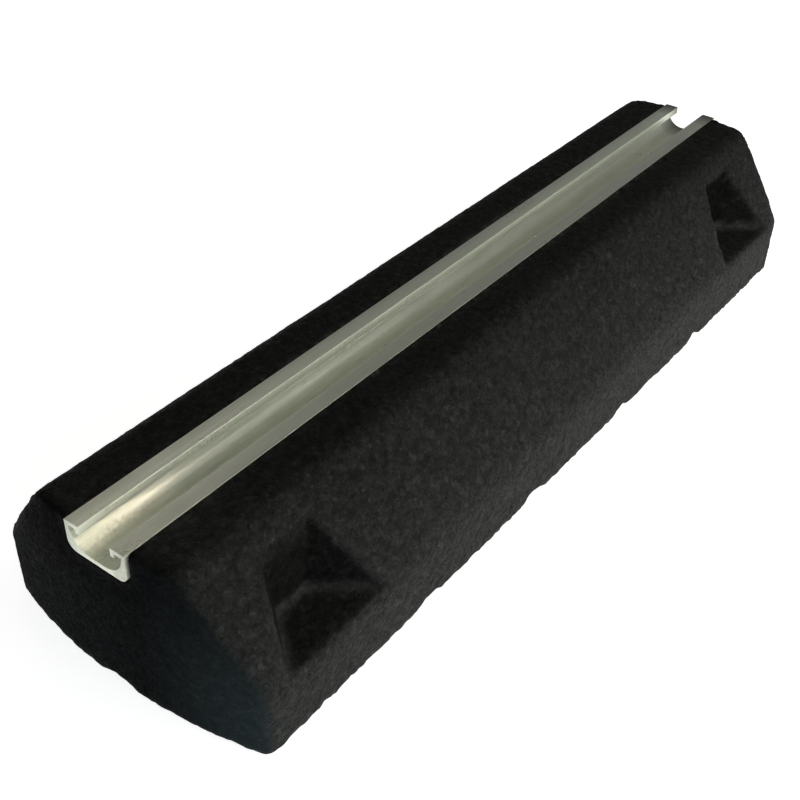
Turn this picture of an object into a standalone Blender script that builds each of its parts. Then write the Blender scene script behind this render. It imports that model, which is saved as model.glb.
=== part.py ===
"""Rubber support foot for equipment, with an aluminium channel let into its top.

A long block of bonded rubber granulate stands on a floor or a flat roof. A C-shaped rail lies
flush in its top, held by countersunk screws that go into flanged plugs moulded into the rubber.
The origin is the centre of the foot's underside. +X runs along the rail and +Z is up.
All sizes are in metres.
"""

import math

import bmesh
import bpy

# The block
LENGTH = 0.600
WIDTH = 0.180
HEIGHT = 0.100
BAND_HEIGHT = 0.0425  # where the slope would meet the upright band along each side
ARRIS_RADIUS = 0.022  # the rounded edge between the slope and the band
SHOULDER_HALF = 0.046  # where the slope would meet the top, measured from the middle
SHOULDER_RADIUS = 0.016
END_CROWN = 0.0125  # how far each end bulges out in the middle, seen from above
CORNER_RADIUS = 0.0055  # the upright corners between ends and sides
EDGE_RADIUS = 0.0020  # the edges all round each end and along the bottom

# The pockets moulded into each slope, near the ends
POCKET_FLOOR = 0.0415
POCKET_CENTRE = 0.0655  # from the end of the block
POCKET_OUTER_WIDTH = 0.075
POCKET_INNER_WIDTH = 0.021
POCKET_BACK = 0.0573  # the back wall, from the middle of the block
POCKET_SIDE_DRAFT = math.radians(9)
POCKET_BACK_DRAFT = math.radians(3)

# The drainage grooves in the underside
GROOVE_DEPTH = 0.004
CROSS_GROOVE_WIDTH = 0.020
CROSS_GROOVE_PITCH = 0.106
CROSS_GROOVES = 4
LONG_GROOVE_WIDTH = 0.024

# The rail
RAIL_WIDTH = 0.040
RAIL_HEIGHT = 0.018
RAIL_WALL = 0.0025
RAIL_SLOT = 0.021
RAIL_LIP_DEPTH = 0.005  # how far the turned-in lips reach down
RAIL_BEND = 0.006  # the outer radius of the two lower corners
RAIL_EDGE = 0.0006  # the radius of the upper edges

# The screws and the plugs that they bite into
SCREW_PLACES = (-0.240, -0.080, 0.080, 0.240)
SCREW_RADIUS = 0.00175
SCREW_HEAD_RADIUS = 0.0035
SCREW_HEAD_RIM = 0.0002
SCREW_LENGTH = 0.030
SCREW_SUNK = 0.0001  # the head's top below the floor of the rail
SCREW_SOCKET_ACROSS = 0.002
SCREW_SOCKET_DEPTH = 0.0012
SCREW_TIP = 0.003
SCREW_GAP = 0.0002
PLUG_LENGTH = 0.032
PLUG_RADIUS = 0.004
PLUG_FLANGE_RADIUS = 0.009
PLUG_FLANGE = 0.002

GAP = 0.0003  # left between two pieces that touch
REACH = 0.020  # how far a cutter runs past what it cuts
MERGE = 0.00001

RAIL_BOTTOM = HEIGHT - RAIL_HEIGHT
RAIL_FLOOR = RAIL_BOTTOM + RAIL_WALL


def clear_scene():
    for obj in list(bpy.data.objects):
        bpy.data.objects.remove(obj, do_unlink=True)


def new_collection(name):
    collection = bpy.data.collections.new(name)
    bpy.context.scene.collection.children.link(collection)
    return collection


def new_material(name, colour, roughness, metallic):
    material = bpy.data.materials.new(name)
    material.use_nodes = True
    shader = material.node_tree.nodes["Principled BSDF"]
    shader.inputs["Base Color"].default_value = (*colour, 1.0)
    shader.inputs["Roughness"].default_value = roughness
    shader.inputs["Metallic"].default_value = metallic
    return material


def add_object(name, data, collection, location=(0, 0, 0), rotation=(0, 0, 0)):
    obj = bpy.data.objects.new(name, data)
    obj.location = location
    obj.rotation_euler = rotation
    collection.objects.link(obj)
    return obj


def finished_mesh(obj, name):
    """The object's mesh with its modifiers applied and its caps welded on. The object is removed."""
    bpy.context.view_layer.update()
    evaluated = obj.evaluated_get(bpy.context.evaluated_depsgraph_get())
    mesh = bpy.data.meshes.new_from_object(evaluated)
    mesh.name = name
    welded = bmesh.new()
    welded.from_mesh(mesh)
    bmesh.ops.remove_doubles(welded, verts=welded.verts, dist=MERGE)
    welded.to_mesh(mesh)
    welded.free()
    bpy.data.objects.remove(obj, do_unlink=True)
    return mesh


def rounded(corners, segments=4):
    """An outline whose corners (x, y, radius) are turned into arcs where the radius isn't 0."""
    outline = []
    for i, (x, y, radius) in enumerate(corners):
        if radius == 0:
            outline.append((x, y))
            continue
        before, after = corners[i - 1], corners[(i + 1) % len(corners)]
        to_before = math.atan2(before[1] - y, before[0] - x)
        to_after = math.atan2(after[1] - y, after[0] - x)
        opening = math.remainder(to_after - to_before, math.tau)
        middle = to_before + opening / 2
        distance = radius / abs(math.sin(opening / 2))
        centre_x, centre_y = x + distance * math.cos(middle), y + distance * math.sin(middle)
        turn = math.copysign(math.pi - abs(opening), opening)
        for step in range(segments + 1):
            angle = middle + math.pi + turn * (0.5 - step / segments)
            outline.append((centre_x + radius * math.cos(angle), centre_y + radius * math.sin(angle)))
    return outline


def prism_mesh(name, outline, depth):
    """A flat outline in local X and Y, thickened by depth along local Z, half of it each way."""
    curve = bpy.data.curves.new(name, "CURVE")
    curve.dimensions = "2D"
    curve.fill_mode = "BOTH"
    curve.extrude = depth / 2
    spline = curve.splines.new("POLY")
    spline.points.add(len(outline) - 1)
    for point, (x, y) in zip(spline.points, outline):
        point.co = (x, y, 0, 1)
    spline.use_cyclic_u = True
    return finished_mesh(add_object(name, curve, bpy.context.scene.collection), name)


ALONG_X = (math.pi / 2, 0, math.pi / 2)  # turns local X, Y and Z to world Y, Z and X
ALONG_Y = (math.pi / 2, 0, 0)


def turned_mesh(name, profile, closed, steps=24):
    """A profile of (radius, height) points turned about local Z."""
    mesh = bpy.data.meshes.new(name)
    edges = [(i, i + 1) for i in range(len(profile) - 1)]
    if closed:
        edges.append((len(profile) - 1, 0))
    mesh.from_pydata([(radius, 0, height) for radius, height in profile], edges, [])
    obj = add_object(name, mesh, bpy.context.scene.collection)
    screw = obj.modifiers.new("turn", "SCREW")
    screw.axis = "Z"
    screw.steps = screw.render_steps = steps
    screw.use_merge_vertices = True
    screw.merge_threshold = MERGE
    return finished_mesh(obj, name)


def cylinder_mesh(name, radius, height, sides):
    mesh = bpy.data.meshes.new(name)
    cylinder = bmesh.new()
    ends = {"radius1": radius, "radius2": radius, "depth": height}
    bmesh.ops.create_cone(cylinder, cap_ends=True, segments=sides, **ends)
    cylinder.to_mesh(mesh)
    cylinder.free()
    return mesh


def add_boolean(obj, cutter, operation):
    modifier = obj.modifiers.new(cutter.name, "BOOLEAN")
    modifier.operation = operation
    modifier.solver = "EXACT"
    modifier.object = cutter
    cutter.hide_render = True
    cutter.display_type = "WIRE"


def shade_round(mesh, angle=math.radians(30)):
    mesh.shade_smooth()
    mesh.set_sharp_from_angle(angle=angle)


def block_section():
    """Half of it is a top land, a rounded shoulder, a slope, a rounded arris and an upright band."""
    half = WIDTH / 2
    return rounded(
        [
            (-half, 0, 0),
            (half, 0, 0),
            (half, BAND_HEIGHT, ARRIS_RADIUS),
            (SHOULDER_HALF, HEIGHT, SHOULDER_RADIUS),
            (-SHOULDER_HALF, HEIGHT, SHOULDER_RADIUS),
            (-half, BAND_HEIGHT, ARRIS_RADIUS),
        ]
    )


def block_plan():
    """The block seen from above: straight sides, and ends that are arcs."""
    half = WIDTH / 2
    radius = (half**2 + END_CROWN**2) / (2 * END_CROWN)
    reach = math.asin(half / radius)
    steps = 12
    corners = []
    for side in (1, -1):
        for step in range(steps + 1):
            angle = reach * (2 * step / steps - 1)
            x = LENGTH / 2 - radius + radius * math.cos(angle)
            corner = CORNER_RADIUS if step in (0, steps) else 0
            corners.append((side * x, side * radius * math.sin(angle), corner))
    return rounded(corners)


def pocket_mesh():
    """A box whose three walls lean outwards. Seen from above, it widens towards +Y, the block's side."""
    flare = (POCKET_OUTER_WIDTH - POCKET_INNER_WIDTH) / 2 / (WIDTH / 2 - POCKET_BACK)
    height = HEIGHT + REACH - POCKET_FLOOR
    box = bmesh.new()
    bmesh.ops.create_cube(box, size=1)
    for corner in box.verts:
        rise = height if corner.co.z > 0 else 0
        if corner.co.y > 0:
            y = WIDTH / 2 + REACH
        else:
            y = POCKET_BACK - rise * math.tan(POCKET_BACK_DRAFT)
        half_width = POCKET_INNER_WIDTH / 2 + flare * (y - POCKET_BACK)
        half_width += rise * math.tan(POCKET_SIDE_DRAFT) * math.hypot(1, flare)
        corner.co = (math.copysign(half_width, corner.co.x), y, POCKET_FLOOR + rise)
    mesh = bpy.data.meshes.new("pocket")
    box.to_mesh(mesh)
    box.free()
    return mesh


def groove_cutter(name, width, length, cutters, location, rotation):
    """A lying cylinder that dips into the underside as a shallow arc."""
    radius = (width**2 / 4 + GROOVE_DEPTH**2) / (2 * GROOVE_DEPTH)
    mesh = cylinder_mesh(name, radius, length + 2 * REACH, 48)
    x, y = location
    return add_object(name, mesh, cutters, (x, y, GROOVE_DEPTH - radius), rotation)


def plug_cavity(name, x, cutters):
    """The hole that a plug leaves in the rubber. It opens into the rail's seat."""
    bottom = -PLUG_LENGTH - GAP
    shelf = PLUG_FLANGE - PLUG_LENGTH + GAP
    profile = [
        (0, REACH / 10),
        (PLUG_RADIUS + GAP, REACH / 10),
        (PLUG_RADIUS + GAP, shelf),
        (PLUG_FLANGE_RADIUS + GAP, shelf),
        (PLUG_FLANGE_RADIUS + GAP, bottom),
        (0, bottom),
    ]
    return add_object(name, turned_mesh(name, profile, False), cutters, (x, 0, RAIL_BOTTOM - GAP))


def rail_seat(cutters):
    """The trough in the block's top that the rail lies in."""
    half = RAIL_WIDTH / 2 + GAP
    bottom = RAIL_BOTTOM - GAP
    outline = rounded(
        [
            (-half, bottom, RAIL_BEND + GAP),
            (half, bottom, RAIL_BEND + GAP),
            (half, HEIGHT + REACH, 0),
            (-half, HEIGHT + REACH, 0),
        ]
    )
    mesh = prism_mesh("rail_seat", outline, LENGTH + 2 * REACH)
    return add_object("rail_seat", mesh, cutters, rotation=ALONG_X)


def build_block(parts, cutters, material):
    section = prism_mesh("rubber_block", block_section(), LENGTH + REACH)
    block = add_object("rubber_block", section, parts, rotation=ALONG_X)
    section.materials.append(material)

    plan = prism_mesh("block_plan", block_plan(), HEIGHT + 2 * REACH)
    add_boolean(block, add_object("block_plan", plan, cutters, (0, 0, HEIGHT / 2)), "INTERSECT")

    bevel = block.modifiers.new("edges", "BEVEL")
    bevel.width = EDGE_RADIUS
    bevel.segments = 3
    bevel.limit_method = "ANGLE"
    bevel.angle_limit = math.radians(60)
    bevel.use_clamp_overlap = False

    holes = [rail_seat(cutters)]
    holes.append(groove_cutter("long_groove", LONG_GROOVE_WIDTH, LENGTH, cutters, (0, 0), ALONG_X))
    for i in range(CROSS_GROOVES):
        x = (i - (CROSS_GROOVES - 1) / 2) * CROSS_GROOVE_PITCH
        name = f"cross_groove_{i + 1}"
        holes.append(groove_cutter(name, CROSS_GROOVE_WIDTH, WIDTH, cutters, (x, 0), ALONG_Y))
    for i, x in enumerate(SCREW_PLACES):
        holes.append(plug_cavity(f"plug_cavity_{i + 1}", x, cutters))
    pocket = pocket_mesh()
    for end in (-1, 1):
        for side, turn in (("left", 0), ("right", math.pi)):
            name = f"pocket_{'near' if end < 0 else 'far'}_{side}"
            location = (end * (LENGTH / 2 - POCKET_CENTRE), 0, 0)
            holes.append(add_object(name, pocket, cutters, location, (0, 0, turn)))
    for cutter in holes:
        add_boolean(block, cutter, "DIFFERENCE")


def rail_section():
    """A C with lips turned in and down, drawn with its underside at RAIL_BOTTOM."""
    half = RAIL_WIDTH / 2
    slot = RAIL_SLOT / 2
    bottom = RAIL_BOTTOM
    inner_bend = RAIL_BEND - RAIL_WALL
    right = [
        (half, bottom, RAIL_BEND),
        (half, HEIGHT, RAIL_EDGE),
        (slot, HEIGHT, RAIL_EDGE),
        (slot, HEIGHT - RAIL_LIP_DEPTH, 0),
        (slot + RAIL_WALL, HEIGHT - RAIL_LIP_DEPTH, 0),
        (slot + RAIL_WALL, HEIGHT - RAIL_WALL, 0),
        (half - RAIL_WALL, HEIGHT - RAIL_WALL, 0),
        (half - RAIL_WALL, RAIL_FLOOR, inner_bend),
    ]
    left = [(-y, z, radius) for y, z, radius in reversed(right)]
    return rounded(right + left)


def countersink_mesh():
    """The hole for a screw: a round hole that opens as a 45 degree cone. The rail's floor is at local Z 0."""
    hole = SCREW_RADIUS + SCREW_GAP
    mouth = SCREW_HEAD_RADIUS + SCREW_SUNK + SCREW_HEAD_RIM + SCREW_GAP * math.sqrt(2)
    margin = 0.001
    profile = [
        (0, margin),
        (mouth + margin, margin),
        (hole, hole - mouth),
        (hole, -RAIL_WALL - margin),
        (0, -RAIL_WALL - margin),
    ]
    return turned_mesh("countersink", profile, False)


def build_rail(parts, cutters, material):
    mesh = prism_mesh("channel_rail", rail_section(), LENGTH)
    mesh.materials.append(material)
    rail = add_object("channel_rail", mesh, parts, rotation=ALONG_X)
    hole = countersink_mesh()
    for i, x in enumerate(SCREW_PLACES):
        add_boolean(rail, add_object(f"countersink_{i + 1}", hole, cutters, (x, 0, RAIL_FLOOR)), "DIFFERENCE")


def screw_mesh(cutters, material):
    """A countersunk screw with a hexagonal socket. Its head's top is at local Z 0."""
    cone = SCREW_HEAD_RADIUS - SCREW_RADIUS
    profile = [
        (0, 0),
        (SCREW_HEAD_RADIUS, 0),
        (SCREW_HEAD_RADIUS, -SCREW_HEAD_RIM),
        (SCREW_RADIUS, -SCREW_HEAD_RIM - cone),
        (SCREW_RADIUS, SCREW_TIP - SCREW_LENGTH),
        (0, -SCREW_LENGTH),
    ]
    blank = add_object("screw_blank", turned_mesh("screw_blank", profile, False), cutters)
    corner = SCREW_SOCKET_ACROSS / 2 / math.cos(math.pi / 6)
    socket = cylinder_mesh("screw_socket", corner, 2 * SCREW_SOCKET_DEPTH, 6)
    cutter = add_object("screw_socket", socket, cutters)
    add_boolean(blank, cutter, "DIFFERENCE")
    mesh = finished_mesh(blank, "rail_screw")
    bpy.data.objects.remove(cutter, do_unlink=True)
    mesh.materials.append(material)
    shade_round(mesh)
    return mesh


def plug_mesh(material):
    """A sleeve with a bore for the screw and a flange at its foot. Its top is at local Z 0."""
    bore = SCREW_RADIUS + SCREW_GAP
    shelf = PLUG_FLANGE - PLUG_LENGTH
    profile = [
        (bore, 0),
        (PLUG_RADIUS, 0),
        (PLUG_RADIUS, shelf),
        (PLUG_FLANGE_RADIUS, shelf),
        (PLUG_FLANGE_RADIUS, -PLUG_LENGTH),
        (bore, -PLUG_LENGTH),
    ]
    mesh = turned_mesh("screw_plug", profile, True)
    mesh.materials.append(material)
    shade_round(mesh)
    return mesh


def build_fasteners(parts, cutters, steel, nylon):
    screw = screw_mesh(cutters, steel)
    plug = plug_mesh(nylon)
    for i, x in enumerate(SCREW_PLACES):
        add_object(f"rail_screw_{i + 1}", screw, parts, (x, 0, RAIL_FLOOR - SCREW_SUNK))
        add_object(f"screw_plug_{i + 1}", plug, parts, (x, 0, RAIL_BOTTOM - GAP))


def main():
    clear_scene()
    parts = new_collection("rubber_support_foot")
    cutters = new_collection("cutters")
    rubber = new_material("rubber_granulate", (0.018, 0.019, 0.018), 0.9, 0.0)
    aluminium = new_material("mill_aluminium", (0.62, 0.61, 0.55), 0.38, 1.0)
    steel = new_material("zinc_plated_steel", (0.60, 0.61, 0.63), 0.35, 1.0)
    nylon = new_material("grey_nylon", (0.35, 0.36, 0.37), 0.5, 0.0)
    build_block(parts, cutters, rubber)
    build_rail(parts, cutters, aluminium)
    build_fasteners(parts, cutters, steel, nylon)


main()
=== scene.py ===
"""The looks of a rubber support foot for equipment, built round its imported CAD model.

The block is moulded from black rubber granulate, and a mill-finished aluminium channel lies in its top.
Sizes are in metres, in the row frame: +X runs along the channel, and +Z is up.
"""

import math

import bmesh
import bpy
import numpy as np
from mathutils import Matrix, Vector, noise
from mathutils.bvhtree import BVHTree


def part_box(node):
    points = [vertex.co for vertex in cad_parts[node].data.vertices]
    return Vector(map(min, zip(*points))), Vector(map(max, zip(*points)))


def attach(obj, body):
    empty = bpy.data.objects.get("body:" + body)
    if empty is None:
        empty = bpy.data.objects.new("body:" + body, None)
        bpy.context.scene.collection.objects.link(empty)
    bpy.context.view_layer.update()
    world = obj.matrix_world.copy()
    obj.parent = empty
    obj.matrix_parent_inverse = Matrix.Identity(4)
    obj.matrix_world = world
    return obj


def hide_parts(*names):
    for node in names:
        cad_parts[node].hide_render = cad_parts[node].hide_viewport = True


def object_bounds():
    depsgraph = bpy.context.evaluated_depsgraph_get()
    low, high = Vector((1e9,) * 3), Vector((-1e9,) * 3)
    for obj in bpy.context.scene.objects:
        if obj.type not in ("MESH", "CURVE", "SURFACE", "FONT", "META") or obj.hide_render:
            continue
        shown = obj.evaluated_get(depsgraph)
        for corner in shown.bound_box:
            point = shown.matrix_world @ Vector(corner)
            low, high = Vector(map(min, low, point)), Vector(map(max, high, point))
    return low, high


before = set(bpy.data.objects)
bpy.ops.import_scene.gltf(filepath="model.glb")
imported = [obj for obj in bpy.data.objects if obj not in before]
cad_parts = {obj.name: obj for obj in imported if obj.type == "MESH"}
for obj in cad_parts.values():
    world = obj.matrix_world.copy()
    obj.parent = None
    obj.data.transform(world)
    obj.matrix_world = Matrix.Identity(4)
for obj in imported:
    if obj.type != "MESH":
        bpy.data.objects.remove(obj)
CAD_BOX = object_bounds()
SCENE = bpy.context.scene

MM = 0.001


# Helpers for meshes


def new_object(name, data):
    obj = bpy.data.objects.new(name, data)
    SCENE.collection.objects.link(obj)
    return obj


def applied(obj):
    """The object with its modifiers made part of its mesh."""
    bpy.context.view_layer.update()
    evaluated = obj.evaluated_get(bpy.context.evaluated_depsgraph_get())
    mesh = bpy.data.meshes.new_from_object(evaluated)
    obj.modifiers.clear()
    old = obj.data
    obj.data = mesh
    bpy.data.meshes.remove(old)
    return obj


def coordinates(mesh):
    flat = np.empty(len(mesh.vertices) * 3, np.float32)
    mesh.vertices.foreach_get("co", flat)
    return flat.reshape(-1, 3).astype(float)


def normals(mesh):
    flat = np.empty(len(mesh.vertices) * 3, np.float32)
    mesh.vertex_normals.foreach_get("vector", flat)
    return flat.reshape(-1, 3).astype(float)


def set_coordinates(mesh, points):
    mesh.vertices.foreach_set("co", points.astype(np.float32).ravel())
    mesh.update()


def add_attribute(mesh, name, values):
    mesh.attributes.new(name, "FLOAT", "POINT").data.foreach_set("value", values.astype(np.float32))


def nearest_on(mesh, points):
    """For each point, the nearest place on a mesh's surface."""
    tree = BVHTree.FromPolygons([v.co for v in mesh.vertices], [p.vertices for p in mesh.polygons])
    return np.array([tree.find_nearest(Vector(p))[0] for p in points])


class Neighbours:
    """The average of what a mesh's vertices have next to them."""

    def __init__(self, mesh):
        ends = np.empty(len(mesh.edges) * 2, np.int32)
        mesh.edges.foreach_get("vertices", ends)
        pairs = ends.reshape(-1, 2)
        self.here = np.concatenate([pairs[:, 0], pairs[:, 1]])
        self.there = np.concatenate([pairs[:, 1], pairs[:, 0]])
        self.size = len(mesh.vertices)
        self.count = np.maximum(np.bincount(self.here, minlength=self.size), 1)

    def mean(self, values):
        values = values.reshape(self.size, -1)
        sums = [np.bincount(self.here, column, self.size) for column in values[self.there].T]
        return (np.stack(sums, axis=1) / self.count[:, None]).squeeze()


def smoothstep(low, high, values):
    share = np.clip((values - low) / (high - low), 0, 1)
    return share * share * (3 - 2 * share)


def noise_at(points, size, seed):
    """Smooth noise between about -1 and 1 whose lumps are about that size."""
    shift = Vector((seed * 17.3, seed * 5.9, seed * 11.7))
    return np.array([noise.noise(Vector(p) / size + shift) for p in points])


def granules_at(points, size, seed):
    """For each point, how far it is from its granule's middle, and a number of that granule's own."""
    shift = Vector((seed * 3.1, seed * 7.7, seed * 1.9))
    far = np.empty(len(points))
    own = np.empty(len(points))
    for i, p in enumerate(points):
        distances, centres = noise.voronoi(Vector(p) / size + shift)
        far[i] = distances[0]
        own[i] = noise.cell(centres[0] * 13.7)
    return far, own


# Helpers for materials


class Graph:
    """A material and the nodes that feed its Principled shader."""

    def __init__(self, name, **constants):
        self.material = bpy.data.materials.new(name)
        self.material.use_nodes = True
        self.tree = self.material.node_tree
        self.shader = self.tree.nodes["Principled BSDF"]
        for key, value in constants.items():
            self.shader.inputs[key.replace("_", " ")].default_value = value
        self.place = self.tree.nodes.new("ShaderNodeTexCoord").outputs["Object"]

    def node(self, kind, inputs, **settings):
        node = self.tree.nodes.new("ShaderNode" + kind)
        for key, value in settings.items():
            setattr(node, key, value)
        for key, value in inputs.items():
            if isinstance(value, bpy.types.NodeSocket):
                self.tree.links.new(value, node.inputs[key])
            else:
                node.inputs[key].default_value = value
        return node

    def math(self, operation, a, b=0.0, clamp=False):
        return self.node("Math", {0: a, 1: b}, operation=operation, use_clamp=clamp).outputs[0]

    def remap(self, value, low, high, to_low=0.0, to_high=1.0):
        limits = {"From Min": low, "From Max": high, "To Min": to_low, "To Max": to_high}
        return self.node("MapRange", {"Value": value, **limits}, clamp=True).outputs[0]

    def mix(self, factor, a, b, blend="MIX"):
        node = self.node("Mix", {0: factor, 6: a, 7: b}, data_type="RGBA", blend_type=blend)
        return node.outputs[2]

    def stretched(self, scale):
        return self.node("Mapping", {"Vector": self.place, "Scale": scale}).outputs[0]

    def noise(self, scale, detail=3.0, roughness=0.5, vector=None):
        inputs = {"Vector": vector or self.place, "Scale": scale, "Detail": detail}
        return self.node("TexNoise", {**inputs, "Roughness": roughness}).outputs["Fac"]

    def voronoi(self, scale, vector, feature="F1"):
        return self.node("TexVoronoi", {"Vector": vector, "Scale": scale}, feature=feature)

    def red(self, colour):
        return self.node("SeparateColor", {0: colour}).outputs[0]

    def green(self, colour):
        return self.node("SeparateColor", {0: colour}).outputs[1]

    def ramp(self, value, stops):
        node = self.node("ValToRGB", {0: value})
        elements = node.color_ramp.elements
        while len(elements) < len(stops):
            elements.new(0.5)
        for element, (position, colour) in zip(elements, stops):
            element.position = position
            element.color = (*colour, 1.0)
        return node.outputs[0]

    def bump(self, height, depth, strength=1.0):
        return self.node("Bump", {"Height": height, "Distance": depth, "Strength": strength}).outputs[0]

    def attribute(self, name):
        return self.node("Attribute", {}, attribute_name=name).outputs["Fac"]

    def feed(self, **sockets):
        for key, value in sockets.items():
            self.tree.links.new(value, self.shader.inputs[key.replace("_", " ")])
        return self.material


LARGE_CRUMB = 2.6 * MM
SMALL_CRUMB = 1.1 * MM
DUST = (0.034, 0.034, 0.031, 1.0)
PRESSED = (0.0088, 0.0092, 0.0080, 1.0)
END_SHADE_TINT = (0.40, 0.56, 0.70, 1.0)


def rubber_material():
    """Pressed granules, each with its own tone and gloss, with dark gaps and a little dust."""
    g = Graph("rubber_granulate", Metallic=0.0)
    wander = g.node("TexNoise", {"Vector": g.place, "Scale": 500.0, "Detail": 3.0}).outputs["Color"]
    wander = g.node("VectorMath", {0: wander, 1: (0.5, 0.5, 0.5)}, operation="SUBTRACT").outputs[0]
    wander = g.node("VectorMath", {0: wander, "Scale": LARGE_CRUMB}, operation="SCALE").outputs[0]
    place = g.node("VectorMath", {0: g.place, 1: wander}, operation="ADD").outputs[0]
    big = g.voronoi(1 / LARGE_CRUMB, place)
    edge = g.voronoi(1 / LARGE_CRUMB, place, "DISTANCE_TO_EDGE").outputs["Distance"]
    small = g.voronoi(1 / SMALL_CRUMB, place)
    tone = g.red(big.outputs["Color"])
    offset = g.green(big.outputs["Color"])
    grain = g.noise(2600.0, 3.0, 0.6)

    colour = g.ramp(
        tone,
        [
            (0.0, (0.0050, 0.0054, 0.0047)),
            (0.60, (0.0085, 0.0090, 0.0077)),
            (0.96, (0.0125, 0.0130, 0.0112)),
            (1.0, (0.0185, 0.0190, 0.0170)),
        ],
    )
    crumb = g.remap(g.red(small.outputs["Color"]), 0.0, 1.0, 0.82, 1.18)
    colour = g.mix(1.0, colour, crumb, "MULTIPLY")
    mottle = g.remap(g.noise(190.0, 5.0, 0.70), 0.32, 0.68)
    colour = g.mix(1.0, colour, g.remap(mottle, 0.0, 1.0, 0.65, 1.40), "MULTIPLY")
    open_gap = g.remap(g.noise(230.0, 3.0, 0.6), 0.50, 0.66)
    gap = g.math("MAXIMUM", g.remap(edge, 0.0, 0.12), g.math("SUBTRACT", 1.0, open_gap))
    colour = g.mix(1.0, colour, g.remap(gap, 0.0, 1.0, 0.35, 1.0), "MULTIPLY")

    # Dust lies in smudges and hollows, and worn edges are paler.
    cloud = g.noise(34.0, 5.0, 0.65)
    smudge = g.math("MULTIPLY", g.remap(cloud, 0.54, 0.72), g.remap(grain, 0.42, 0.70))
    hollow = g.attribute("hollow")
    patches = g.remap(g.noise(260.0, 4.0, 0.6), 0.30, 0.60)
    settled = g.math("MULTIPLY", g.remap(hollow, 0.1, 0.9), patches)
    worn = g.attribute("worn")
    scuffs = g.remap(g.noise(150.0, 4.0, 0.7), 0.42, 0.66)
    rubbed = g.math("MULTIPLY", g.remap(worn, 0.3, 1.0), scuffs)
    dust = g.math("MAXIMUM", g.math("MULTIPLY", smudge, 0.36), g.math("MULTIPLY", settled, 0.42))
    dust = g.math("MAXIMUM", dust, g.math("MULTIPLY", rubbed, 0.50))
    colour = g.mix(dust, colour, DUST)

    # Painted shade: darker higher up, a bluish shade on the more even ends, and shade on the pockets'
    # walls.
    across, up = g.node("SeparateXYZ", {0: g.place}).outputs[1:]
    # Painted shade: darker higher up.
    colour = g.mix(1.0, colour, g.remap(up, 0.02, 0.10, 1.14, 0.88), "MULTIPLY")
    endwise = g.attribute("endwise")
    even = g.mix(0.7, colour, PRESSED)
    # Painted shade on the ends: a bluish tint, lighter towards -Y and darker higher up.
    painted_end_shade = g.mix(1.0, even, END_SHADE_TINT, "MULTIPLY")
    painted_end_shade = g.mix(1.0, painted_end_shade, g.remap(across, -0.088, -0.02, 3.4, 0.40), "MULTIPLY")
    painted_end_shade = g.mix(1.0, painted_end_shade, g.remap(up, 0.030, 0.085, 1.20, 0.60), "MULTIPLY")
    colour = g.mix(endwise, colour, painted_end_shade)
    # Painted shade on the pockets' walls, in colour and in gloss.
    painted_pocket_shade = g.attribute("painted_pocket_shade")
    colour = g.mix(1.0, colour, g.remap(painted_pocket_shade, 0.0, 1.0, 1.0, 0.40), "MULTIPLY")

    # Painted shade in the gloss: weaker on the ends, on the band, higher up and on the pockets' walls.
    sheen = g.remap(endwise, 0.0, 1.0, 0.140, 0.020)
    sheen = g.math("MULTIPLY", sheen, g.remap(mottle, 0.0, 1.0, 0.75, 1.25))
    sheen = g.math("MULTIPLY", sheen, g.remap(up, 0.036, 0.050, 0.92, 1.08))
    sheen = g.math("MULTIPLY", sheen, g.remap(up, 0.052, 0.084, 1.0, 0.58))
    sheen = g.math("MULTIPLY", sheen, g.remap(painted_pocket_shade, 0.0, 1.0, 1.0, 0.10))
    roughness = g.remap(g.green(small.outputs["Color"]), 0.0, 1.0, 0.60, 0.92)

    gap_depth = g.remap(open_gap, 0.0, 1.0, 0.03, 0.42)
    height = g.math("MULTIPLY", g.remap(edge, 0.0, 0.30), gap_depth)
    height = g.math("ADD", height, g.math("MULTIPLY", offset, 0.13))
    height = g.math("SUBTRACT", height, g.math("MULTIPLY", small.outputs["Distance"], 0.20))
    height = g.math("ADD", height, g.math("MULTIPLY", grain, 0.16))
    height = g.math("ADD", height, g.math("MULTIPLY", g.noise(500.0, 4.0, 0.6), 0.40))
    normal = g.bump(height, 0.62 * MM, g.remap(endwise, 0.0, 1.0, 1.0, 0.12))
    return g.feed(Base_Color=colour, Roughness=roughness, Specular_IOR_Level=sheen, Normal=normal)


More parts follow.
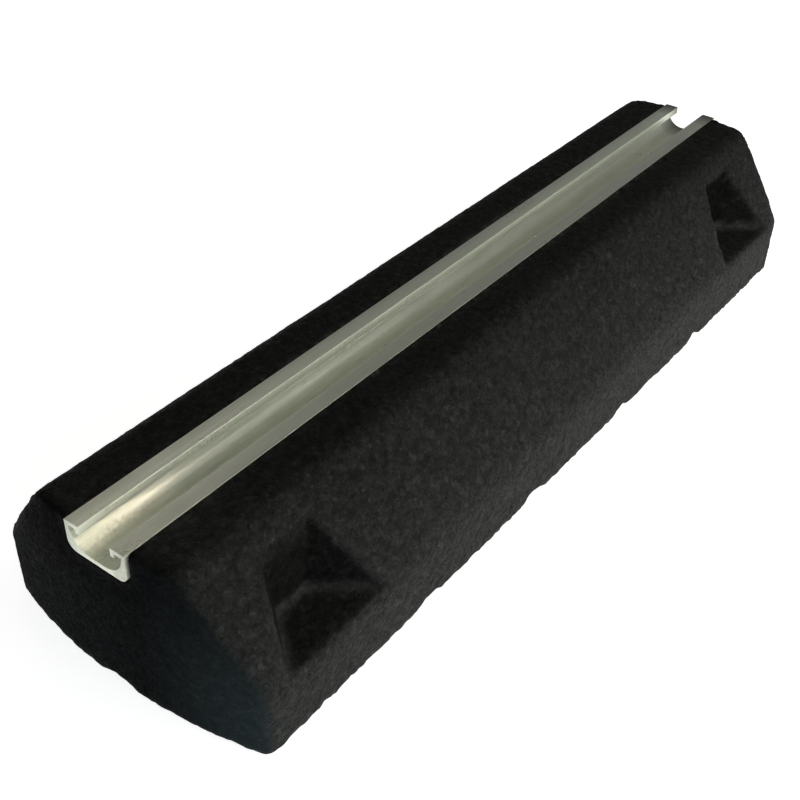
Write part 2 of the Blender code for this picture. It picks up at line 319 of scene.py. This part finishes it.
def aluminium_material():
    """Mill finish: fine lines along the extrusion, cloudy oxide, stains, a few scuffs and painted
    shade.
    """
    g = Graph("mill_aluminium", Metallic=0.96)
    lines = g.noise(1.0, 5.0, 0.65, g.stretched((6.0, 1500.0, 1500.0)))
    hair = g.noise(1.0, 2.0, 0.5, g.stretched((25.0, 5200.0, 5200.0)))
    cloud = g.noise(1.0, 5.0, 0.6, g.stretched((18.0, 70.0, 70.0)))
    spots = g.noise(420.0, 3.0, 0.6)
    tone = g.math("ADD", g.math("MULTIPLY", lines, 0.55), g.math("MULTIPLY", cloud, 0.45))
    colour = g.ramp(
        tone,
        [(0.32, (0.61, 0.625, 0.534)), (0.50, (0.75, 0.772, 0.665)), (0.66, (0.84, 0.861, 0.749))],
    )
    stain = g.math("MULTIPLY", g.remap(cloud, 0.53, 0.70), g.remap(spots, 0.40, 0.62))
    colour = g.mix(g.math("MULTIPLY", stain, 0.55), colour, (0.36, 0.34, 0.27, 1.0))

    # Painted light and shade across the lips, and painted shade at the +X end. The end at -X is duller.
    along, across = g.node("SeparateXYZ", {0: g.place}).outputs[:2]
    colour = g.mix(1.0, colour, g.remap(across, 0.010, 0.020, 1.12, 0.90), "MULTIPLY")
    colour = g.mix(1.0, colour, g.remap(across, -0.0125, -0.0095, 0.77, 0.97), "MULTIPLY")
    colour = g.mix(1.0, colour, g.remap(along, 0.280, 0.299, 1.0, 0.25), "MULTIPLY")
    roughness = g.remap(tone, 0.30, 0.70, 0.56, 0.42)
    roughness = g.math("ADD", roughness, g.math("MULTIPLY", stain, 0.15))
    roughness = g.math("ADD", roughness, g.remap(along, -0.255, -0.298, 0.0, 0.16), clamp=True)
    height = g.math("ADD", g.math("MULTIPLY", lines, 0.7), g.math("MULTIPLY", hair, 0.3))
    return g.feed(Base_Color=colour, Roughness=roughness, Normal=g.bump(height, 0.05 * MM))


def steel_material():
    """Zinc plate: a bright, slightly blotchy coat."""
    g = Graph("zinc_plated_steel", Metallic=1.0)
    blotch = g.noise(900.0, 4.0, 0.6)
    colour = g.ramp(blotch, [(0.30, (0.42, 0.43, 0.45)), (0.70, (0.70, 0.71, 0.74))])
    roughness = g.remap(blotch, 0.30, 0.70, 0.42, 0.24)
    return g.feed(Base_Color=colour, Roughness=roughness, Normal=g.bump(g.noise(3500.0), 0.02 * MM))


def nylon_material():
    """Moulded nylon with a fine, even grain."""
    g = Graph("grey_nylon", Metallic=0.0, Specular_IOR_Level=0.5)
    grain = g.noise(1400.0, 4.0, 0.6)
    colour = g.ramp(grain, [(0.35, (0.27, 0.28, 0.29)), (0.65, (0.36, 0.37, 0.38))])
    roughness = g.remap(grain, 0.35, 0.65, 0.44, 0.60)
    return g.feed(Base_Color=colour, Roughness=roughness, Normal=g.bump(grain, 0.05 * MM))


# The rubber block

VOXEL = 2.05 * MM
SOFTENING = 7
GRANULE = 3.4 * MM
END_ZONE = 25 * MM
FOOT = 9 * MM

# The gap beside the channel, and how far from it and from a plug the block keeps its plain CAD shape.
SEAT_GAP = 0.3 * MM
BESIDE_SEAT = 4 * MM
BARE_SEAT = 1.2 * MM
RIM_REACH = 1.3 * MM
BESIDE_PLUG = 2 * MM
UNDER_PLUG = 3 * MM

# Where the pockets are: their middle and half their length along the block, and two more bounds.
POCKET_MIDDLE = 234.5 * MM
POCKET_REACH = 45 * MM
POCKET_DEEPEST = 50 * MM
POCKET_LOWEST = 39 * MM


def remeshed(source):
    """The block in even, small faces."""
    body = new_object("moulded_rubber", source.copy())
    remesh = body.modifiers.new("remesh", "REMESH")
    remesh.mode = "VOXEL"
    remesh.voxel_size = VOXEL
    remesh.adaptivity = 0.0
    return applied(body)


def mark_wear(mesh, points, outward, around, in_pocket):
    """Saves where dust settles, what is worn and where shade is painted. Gives the edges and the end
    zones.
    """
    bulge = np.einsum("ij,ij->i", points - around.mean(points), outward)
    edge = smoothstep(0.02 * MM, 0.14 * MM, bulge)
    edge = np.maximum(edge, around.mean(edge))
    hollow = smoothstep(0.06 * MM, 0.20 * MM, -bulge)
    for _ in range(2):
        hollow = 0.5 * (hollow + around.mean(hollow))
    add_attribute(mesh, "hollow", np.clip(1.6 * hollow, 0, 1))
    outermost = np.abs(points[:, 0]) > CAD_BOX[1][0] - END_ZONE
    add_attribute(mesh, "worn", np.where(outermost | in_pocket, 0.0, edge))
    endwise = np.where(outermost, smoothstep(0.35, 0.75, np.abs(outward[:, 0])), 0.0)
    for _ in range(12):
        endwise = 0.5 * (endwise + around.mean(endwise))
    add_attribute(mesh, "endwise", endwise)
    # Painted shade on pocket walls: full facing -X and at +X, and elsewhere only low down.
    walls = smoothstep(0.30, 0.10, outward[:, 2]) * in_pocket * (1 - edge)
    back = np.where(points[:, 0] > 0, 1.0, 0.8 * smoothstep(0.095, 0.068, points[:, 2]))
    walls *= np.where(outward[:, 0] < -0.35, 1.0, back)
    add_attribute(mesh, "painted_pocket_shade", walls)
    return edge, outermost


def skin_depth(points, edge):
    """How deep the granules, the dents and the chipped edges go at each point."""
    far, own = granules_at(points, GRANULE, 1)
    depth = 0.22 * MM * smoothstep(0.15, 0.75, far) + 0.14 * MM * own
    depth += 0.7 * MM * (own > 0.96) * (1 - smoothstep(0.2, 0.7, far))
    depth += 0.20 * MM * noise_at(points, 45 * MM, 2)
    chips = smoothstep(0.05, 0.45, noise_at(points, 11 * MM, 3))
    chips *= 0.6 + 0.4 * noise_at(points, 4 * MM, 4)
    return depth + edge * (1.0 * MM * chips + 0.15 * MM * own)


def skin_share(points, outward, outermost, seat, seat_floor):
    """How much of that depth each point gets: none where another piece fits closely."""
    in_seat = (np.abs(points[:, 1]) < seat + BARE_SEAT) & (points[:, 2] > seat_floor - BARE_SEAT)
    on_end = outermost & (np.abs(outward[:, 0]) > 0.6)
    share = np.where(in_seat, 0.0, np.where(on_end, 0.5, 1.0))
    for name in sorted(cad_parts):
        if name.startswith("screw_plug"):
            low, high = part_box(name)
            x, y = (low[0] + high[0]) / 2, (low[1] + high[1]) / 2
            reach = high[0] - x + BESIDE_PLUG
            near = np.hypot(points[:, 0] - x, points[:, 1] - y) < reach
            share = np.where(near & (points[:, 2] > low[2] - UNDER_PLUG), 0.0, share)
    return share


def build_rubber():
    """The CAD block in fine even faces, with crumbly edges and a granular skin."""
    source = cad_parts["rubber_block"].data
    body = remeshed(source)
    mesh = body.data
    points = coordinates(mesh)
    around = Neighbours(mesh)
    rail_low, rail_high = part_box("channel_rail")
    seat = rail_high[1] + SEAT_GAP
    beside = (np.abs(points[:, 1]) < seat + BESIDE_SEAT) & (points[:, 2] > rail_low[2] - BESIDE_SEAT)
    in_pocket = (np.abs(points[:, 1]) > POCKET_DEEPEST) & (points[:, 2] > POCKET_LOWEST)
    in_pocket &= np.abs(np.abs(points[:, 0]) - POCKET_MIDDLE) < POCKET_REACH

    # Everything but the seat is softened, and then goes part of the way back to the CAD surface.
    soften = np.where(beside, 0.0, np.where(in_pocket, 0.36, 0.5))[:, None]
    for _ in range(SOFTENING):
        points += soften * (around.mean(points) - points)
    set_coordinates(mesh, points)
    outward = normals(mesh)
    edge, outermost = mark_wear(mesh, points, outward, around, in_pocket)

    # The seat goes all the way back, the foot most of it, and the rest less.
    keep = np.where(in_pocket & (edge < 0.05), 0.45, 0.30)
    keep = np.where(beside, 1.0, np.where(points[:, 2] < FOOT, 0.85, keep))
    points += keep[:, None] * (nearest_on(source, points) - points)
    rim = np.hypot(np.abs(points[:, 1]) - seat, points[:, 2] - rail_high[2]) < RIM_REACH
    points[rim, 1] = np.copysign(seat, points[rim, 1])
    points[rim, 2] = rail_high[2]

    depth = skin_depth(points, edge) * skin_share(points, outward, outermost, seat, rail_low[2])
    points -= outward * depth[:, None]
    low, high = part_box("rubber_block")
    set_coordinates(mesh, np.clip(points, np.array(low), np.array(high)))
    mesh.shade_smooth()
    mesh.materials.clear()
    mesh.materials.append(rubber_material())
    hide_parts("rubber_block")
    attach(body, "root")


# The channel

WALL = 2.5 * MM
SLOT = 21 * MM
LIP_DEPTH = 5 * MM
LOWER_BEND = 6 * MM
OUTER_EDGE = 0.25 * MM
INNER_EDGE = 0.14 * MM
NICK = 0.25 * MM
CAVITY_BEND = 0.5 * MM
SAWN_EDGE = 0.10 * MM
RINGS = 121

# The radii of a screw hole: right through, and at the mouth of its countersink.
HOLE = 1.95 * MM
MOUTH = HOLE + 2.117 * MM

# The bends inside the channel are wider than in CAD, because the photograph shows soft ones.
INNER_BEND = 13 * MM


def rounded(corners, segments=12):
    """An outline whose corners (x, y, radius) are turned into arcs."""
    outline = []
    for i, (x, y, radius) in enumerate(corners):
        before, after = corners[i - 1], corners[(i + 1) % len(corners)]
        to_before = math.atan2(before[1] - y, before[0] - x)
        to_after = math.atan2(after[1] - y, after[0] - x)
        opening = math.remainder(to_after - to_before, math.tau)
        middle = to_before + opening / 2
        distance = radius / abs(math.sin(opening / 2))
        centre_x, centre_y = x + distance * math.cos(middle), y + distance * math.sin(middle)
        turn = math.copysign(math.pi - abs(opening), opening)
        for step in range(segments + 1):
            angle = middle + math.pi + turn * (0.5 - step / segments)
            outline.append((centre_x + radius * math.cos(angle), centre_y + radius * math.sin(angle)))
    return outline


def channel_outline(low, high):
    """The channel's section, from its lower right corner round to its lower left one."""
    half, slot = high[1], SLOT / 2
    right = [
        (half, low[2], LOWER_BEND),
        (half, high[2], OUTER_EDGE),
        (slot, high[2], INNER_EDGE),
        (slot, high[2] - LIP_DEPTH, NICK),
        (slot + WALL, high[2] - LIP_DEPTH, NICK),
        (slot + WALL, high[2] - WALL, CAVITY_BEND),
        (half - WALL, high[2] - WALL, CAVITY_BEND),
        (half - WALL, low[2] + WALL, INNER_BEND),
    ]
    return rounded(right + [(-y, z, radius) for y, z, radius in reversed(right)])


def turned(profile, steps):
    """A bmesh of a profile of (radius, height) points turned about Z."""
    made = bmesh.new()
    points = [made.verts.new((radius, 0, height)) for radius, height in profile]
    edges = [made.edges.new(pair) for pair in zip(points, points[1:])]
    bmesh.ops.spin(
        made,
        geom=points + edges,
        cent=(0, 0, 0),
        axis=(0, 0, 1),
        angle=math.tau,
        steps=steps,
        use_merge=True,
    )
    bmesh.ops.remove_doubles(made, verts=made.verts, dist=0.001 * MM)
    bmesh.ops.recalc_face_normals(made, faces=made.faces)
    return made


def mesh_of(made, name):
    """A mesh made from a bmesh, which is then freed."""
    mesh = bpy.data.meshes.new(name)
    made.to_mesh(mesh)
    made.free()
    return mesh


def hole_cutter(x, floor):
    """A countersunk hole's shape, from a little over the channel's floor to a little under it."""
    profile = [(0, 1 * MM), (MOUTH + 1 * MM, 1 * MM)]
    profile += [(HOLE, HOLE - MOUTH), (HOLE, -4 * MM), (0, -4 * MM)]
    cutter = new_object("cutter", mesh_of(turned(profile, 48), "cutter"))
    cutter.location = (x, 0, floor)
    return cutter


def build_channel():
    """The extruded channel, with rounded bends, broken sawn edges and countersunk holes."""
    low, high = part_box("channel_rail")
    outline = channel_outline(low, high)
    made = bmesh.new()
    loops = []
    for i in range(RINGS):
        x = low[0] + (high[0] - low[0]) * i / (RINGS - 1)
        loops.append([made.verts.new((x, y, z)) for y, z in outline])
    for before, after in zip(loops, loops[1:]):
        for i in range(len(outline)):
            made.faces.new((before[i - 1], before[i], after[i], after[i - 1]))
    made.faces.new(loops[0])
    made.faces.new(loops[-1])
    bmesh.ops.recalc_face_normals(made, faces=made.faces)
    channel = new_object("aluminium_channel", mesh_of(made, "aluminium_channel"))
    sawn = channel.modifiers.new("sawn_edges", "BEVEL")
    sawn.width = SAWN_EDGE
    sawn.segments = 2
    sawn.limit_method = "ANGLE"
    sawn.angle_limit = math.radians(50)
    cutters = []
    for name in sorted(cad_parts):
        if name.startswith("rail_screw"):
            screw_low, screw_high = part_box(name)
            cutter = hole_cutter((screw_low[0] + screw_high[0]) / 2, low[2] + WALL)
            hole = channel.modifiers.new(name, "BOOLEAN")
            hole.operation, hole.solver, hole.object = "DIFFERENCE", "EXACT", cutter
            cutters.append(cutter)
    applied(channel)
    for cutter in cutters:
        bpy.data.objects.remove(cutter, do_unlink=True)
    mesh = channel.data
    mesh.shade_smooth()
    mesh.set_sharp_from_angle(angle=math.radians(40))
    weighted = channel.modifiers.new("weighted", "WEIGHTED_NORMAL")
    weighted.keep_sharp = True
    mesh.materials.clear()
    mesh.materials.append(aluminium_material())
    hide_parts("channel_rail")
    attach(channel, "root")


# The screws and their plugs

SHANK = 1.75 * MM
PITCH = 1.3 * MM
ROOT_SHARE = 0.72
PLAIN_NECK = 4 * MM
POINT = 3 * MM
SOCKET_RADIUS = 1.0 * MM / math.cos(math.pi / 6)


def screw_profile(head, length):
    """A flat head with a rolled edge, a neck, a coarse thread and a point."""
    profile = [(0, 0), (head - 0.25 * MM, 0), (head - 0.05 * MM, -0.06 * MM), (head, -0.14 * MM)]
    profile += [(head - 0.04 * MM, -0.24 * MM), (SHANK, -0.2 * MM - (head - SHANK))]
    end = length - POINT
    for i in range(int((end - PLAIN_NECK) / PITCH)):
        down = PLAIN_NECK + i * PITCH
        profile += [(ROOT_SHARE * SHANK, -down), (ROOT_SHARE * SHANK, -down - 0.45 * PITCH)]
        profile += [(SHANK, -down - 0.72 * PITCH)]
    return profile + [(ROOT_SHARE * SHANK, -end), (0, -length)]


def socket_cutter():
    """The hexagonal socket's shape, with a pointed bottom."""
    profile = [(0, 1 * MM), (SOCKET_RADIUS, 1 * MM), (SOCKET_RADIUS, -1.2 * MM), (0, -1.5 * MM)]
    return new_object("socket", mesh_of(turned(profile, 6), "socket"))


def build_screws():
    """Countersunk screws with rolled edges and a hexagonal socket."""
    steel = steel_material()
    for name in sorted(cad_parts):
        if not name.startswith("rail_screw"):
            continue
        low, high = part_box(name)
        made = turned(screw_profile((high[0] - low[0]) / 2, high[2] - low[2]), 48)
        screw = new_object(name.replace("rail_screw", "countersunk_screw"), mesh_of(made, name))
        socket = socket_cutter()
        cut = screw.modifiers.new("socket", "BOOLEAN")
        cut.operation, cut.solver, cut.object = "DIFFERENCE", "EXACT", socket
        applied(screw)
        bpy.data.objects.remove(socket, do_unlink=True)
        mesh = screw.data
        mesh.transform(Matrix.Translation(((low[0] + high[0]) / 2, 0, high[2])))
        mesh.shade_smooth()
        mesh.set_sharp_from_angle(angle=math.radians(30))
        mesh.materials.clear()
        mesh.materials.append(steel)
        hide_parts(name)
        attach(screw, "root")


def finish_plugs():
    """The plugs keep their CAD shape and get the nylon."""
    nylon = nylon_material()
    for name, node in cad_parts.items():
        if name.startswith("screw_plug"):
            node.data.materials.clear()
            node.data.materials.append(nylon)


# The studio


def area_light(name, place, target, size, power, colour, spread=180.0):
    """A rectangular light that faces its target. The spread is in degrees."""
    data = bpy.data.lights.new(name, "AREA")
    data.spread = math.radians(spread)
    data.shape = "RECTANGLE"
    data.size, data.size_y = size
    data.energy = power
    data.color = colour
    light = new_object(name, data)
    light.location = place
    light.rotation_euler = (Vector(target) - Vector(place)).to_track_quat("-Z", "Y").to_euler()


def build_floor():
    """A pale floor a little under the block. It glows, so that it looks evenly white."""
    made = bmesh.new()
    bmesh.ops.create_grid(made, x_segments=2, y_segments=2, size=8.0)
    floor = new_object("studio_floor", mesh_of(made, "studio_floor"))
    floor.location = (0, 0, CAD_BOX[0][2] - 0.2 * MM)
    g = Graph("pale_floor", Roughness=0.8, Specular_IOR_Level=0.1)
    g.shader.inputs["Emission Color"].default_value = (1.0, 1.0, 1.0, 1.0)
    g.shader.inputs["Emission Strength"].default_value = 0.85
    cloth = g.noise(6.0, 2.0, 0.5)
    colour = g.ramp(cloth, [(0.3, (0.80, 0.80, 0.80)), (0.7, (0.83, 0.83, 0.83))])
    floor.data.materials.append(g.feed(Base_Color=colour))


def build_world():
    """A soft room: brightest low down, and darker overhead."""
    world = bpy.data.worlds.new("studio")
    SCENE.world = world
    world.use_nodes = True
    tree = world.node_tree
    direction = tree.nodes.new("ShaderNodeTexCoord").outputs["Generated"]
    parts = tree.nodes.new("ShaderNodeSeparateXYZ")
    tree.links.new(direction, parts.inputs[0])
    ramp = tree.nodes.new("ShaderNodeValToRGB")
    ramp.color_ramp.elements[0].position = 0.0
    ramp.color_ramp.elements[0].color = (0.75, 0.76, 0.77, 1)
    ramp.color_ramp.elements[1].position = 0.6
    ramp.color_ramp.elements[1].color = (0.17, 0.176, 0.166, 1)
    tree.links.new(parts.outputs[2], ramp.inputs[0])
    side = tree.nodes.new("ShaderNodeVectorMath")
    side.operation = "DOT_PRODUCT"
    side.inputs[1].default_value = (0.45, -0.89, 0.0)
    tree.links.new(direction, side.inputs[0])
    strength = tree.nodes.new("ShaderNodeMapRange")
    for key, value in {"From Min": -1.0, "From Max": 1.0, "To Min": 0.22, "To Max": 0.90}.items():
        strength.inputs[key].default_value = value
    tree.links.new(side.outputs["Value"], strength.inputs["Value"])
    background = tree.nodes["Background"]
    tree.links.new(ramp.outputs[0], background.inputs["Color"])
    tree.links.new(strength.outputs[0], background.inputs["Strength"])


def build_lights():
    """One broad key light from the side, and small ones for the channel and the near end."""
    area_light(
        "key",
        place=(0.20, -1.11, 0.35),
        target=(-0.10, -0.10, 0.02),
        size=(1.1, 0.40),
        power=10.0,
        colour=(0.985, 1.0, 0.94),
    )
    area_light(
        "channel_glow",
        place=(0.10, -0.45, 0.80),
        target=(-0.28, 0, 0.09),
        size=(0.26, 0.44),
        power=0.38,
        colour=(1.0, 0.95, 0.88),
    )
    area_light(
        "slot_glow",
        place=(0.34, -0.40, 0.76),
        target=(0.34, 0, 0.09),
        size=(0.50, 0.50),
        power=0.54,
        colour=(1.0, 0.98, 0.90),
    )
    area_light(
        "near_glow",
        place=(-0.11, -0.262, 0.40),
        target=(-0.298, 0.010, 0.088),
        size=(0.07, 0.07),
        power=0.0068,
        colour=(1.0, 0.88, 0.74),
        spread=12.0,
    )
    area_light(
        "lip_glow",
        place=(0.06, 0.55, 0.66),
        target=(-0.28, 0, 0.09),
        size=(0.40, 0.30),
        power=0.29,
        colour=(1.0, 0.95, 0.85),
    )
    area_light(
        "end_fill",
        place=(-0.9, -1.0, 0.25),
        target=(-0.30, 0, 0.05),
        size=(0.6, 0.4),
        power=3.0,
        colour=(0.78, 0.89, 1.0),
    )


CAMERA_PLACE = (-0.5315, -0.3359, 0.4786)
CAMERA_FORWARD = (0.64375, 0.46653, -0.60657)
CAMERA_UP = (0.47266, 0.38096, 0.79464)


def build_camera():
    """The photograph's viewpoint and framing, from its solved perspective."""
    data = bpy.data.cameras.new("camera")
    data.sensor_width = 36.0
    data.lens = 53.74
    data.shift_x = -0.0016
    data.shift_y = -0.0049
    data.clip_start, data.clip_end = 0.01, 50.0
    camera = new_object("camera", data)
    forward = Vector(CAMERA_FORWARD).normalized()
    right = forward.cross(Vector(CAMERA_UP)).normalized()
    up = right.cross(forward)
    turn = Matrix((right, up, -forward)).transposed()
    camera.matrix_world = Matrix.Translation(CAMERA_PLACE) @ turn.to_4x4()
    SCENE.camera = camera


build_rubber()
build_channel()
build_screws()
finish_plugs()
build_floor()
build_world()
build_lights()
build_camera()
SCENE.view_settings.view_transform = "Standard"
